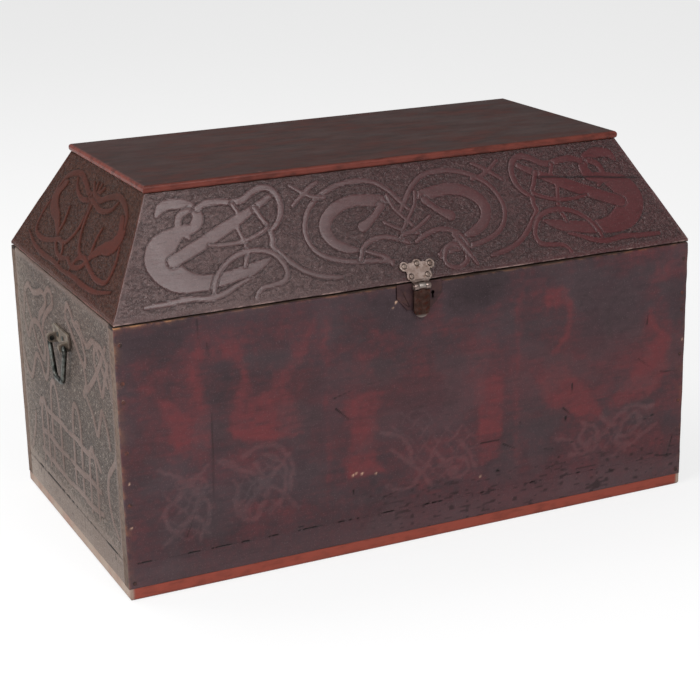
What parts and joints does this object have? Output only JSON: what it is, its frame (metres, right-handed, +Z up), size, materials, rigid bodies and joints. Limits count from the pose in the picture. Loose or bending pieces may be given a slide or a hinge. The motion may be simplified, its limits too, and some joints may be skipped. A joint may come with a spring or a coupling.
{
  "type": "carved wooden chest",
  "caption": "Free-standing wooden chest with a sloping lid carved with interlaced ribbons, a hasp and lock in front and a drop handle on each end.",
  "frame": {"origin": "on the floor under the middle of the chest, fixings included", "axes": "+X along the front to the viewer's right, +Y to the back, +Z up"},
  "size_m": [0.931, 0.521, 0.552],
  "materials": {
    "case_wood": "carved and stained wood, worn satin",
    "lid_wood": "carved and stained wood, worn satin",
    "base_wood": "worn orange-red stained wood",
    "hasp_steel": "polished by handling, light rust",
    "handle_iron": "black forged iron, worn bright on its edges",
    "hinge_iron": "black forged iron",
    "lock_plate_iron": "dark patinated iron",
    "lock_iron": "plain steel",
    "nail_iron": "dark iron"
  },
  "bodies": {
    "case": {"back_lower_board": "case_wood", "back_nails": "nail_iron", "back_upper_board": "case_wood", "base_board": "base_wood", "base_nails": "nail_iron", "front_lower_board": "case_wood", "front_nails": "nail_iron", "front_upper_board": "case_wood", "hinge_case_screws": "hinge_iron", "hinge_left_case_leaf": "hinge_iron", "hinge_left_pin": "hinge_iron", "hinge_right_case_leaf": "hinge_iron", "hinge_right_pin": "hinge_iron", "left_handle_screws": "handle_iron", "left_handle_strap": "handle_iron", "left_lower_board": "case_wood", "left_upper_board": "case_wood", "lock_case": "lock_iron", "lock_pins": "lock_plate_iron", "lock_plate": "lock_plate_iron", "lock_spring": "lock_iron", "right_handle_screws": "handle_iron", "right_handle_strap": "handle_iron", "right_lower_board": "case_wood", "right_upper_board": "case_wood"},
    "lid": {"hasp_leaf": "hasp_steel", "hasp_pin": "hasp_steel", "hasp_screws": "hasp_steel", "hinge_left_lid_leaf": "hinge_iron", "hinge_lid_screws": "hinge_iron", "hinge_right_lid_leaf": "hinge_iron", "lid_back_board": "lid_wood", "lid_front_board": "lid_wood", "lid_left_board": "lid_wood", "lid_nails": "nail_iron", "lid_right_board": "lid_wood", "lid_top_board": "lid_wood"},
    "hasp": {"hasp_tongue": "hasp_steel", "hasp_staple": "hasp_steel"},
    "left_bail": {"left_handle_bail": "handle_iron"},
    "right_bail": {"right_handle_bail": "handle_iron"},
    "bolt": {"lock_bolt": "lock_iron"}
  },
  "joints": [
    {"name": "lid_hinge", "type": "hinge", "parent": "case", "child": "lid", "pos_m": [0, 0.2555, 0.39], "axis": [-1, 0, 0], "range_deg": [0, 100]},
    {"name": "hasp_hinge", "type": "hinge", "parent": "lid", "child": "hasp", "pos_m": [-0.0035, -0.2555, 0.386], "axis": [-1, 0, 0], "range_deg": [0, 170]},
    {"name": "left_handle_hinge", "type": "hinge", "parent": "case", "child": "left_bail", "pos_m": [-0.459, -0.005, 0.304], "axis": [0, 1, 0], "range_deg": [0, 90]},
    {"name": "right_handle_hinge", "type": "hinge", "parent": "case", "child": "right_bail", "pos_m": [0.459, -0.005, 0.304], "axis": [0, -1, 0], "range_deg": [0, 90]},
    {"name": "lock_bolt_slide", "type": "slide", "parent": "case", "child": "bolt", "axis": [-1, 0, 0], "range_m": [0, 0.008]}
  ]
}
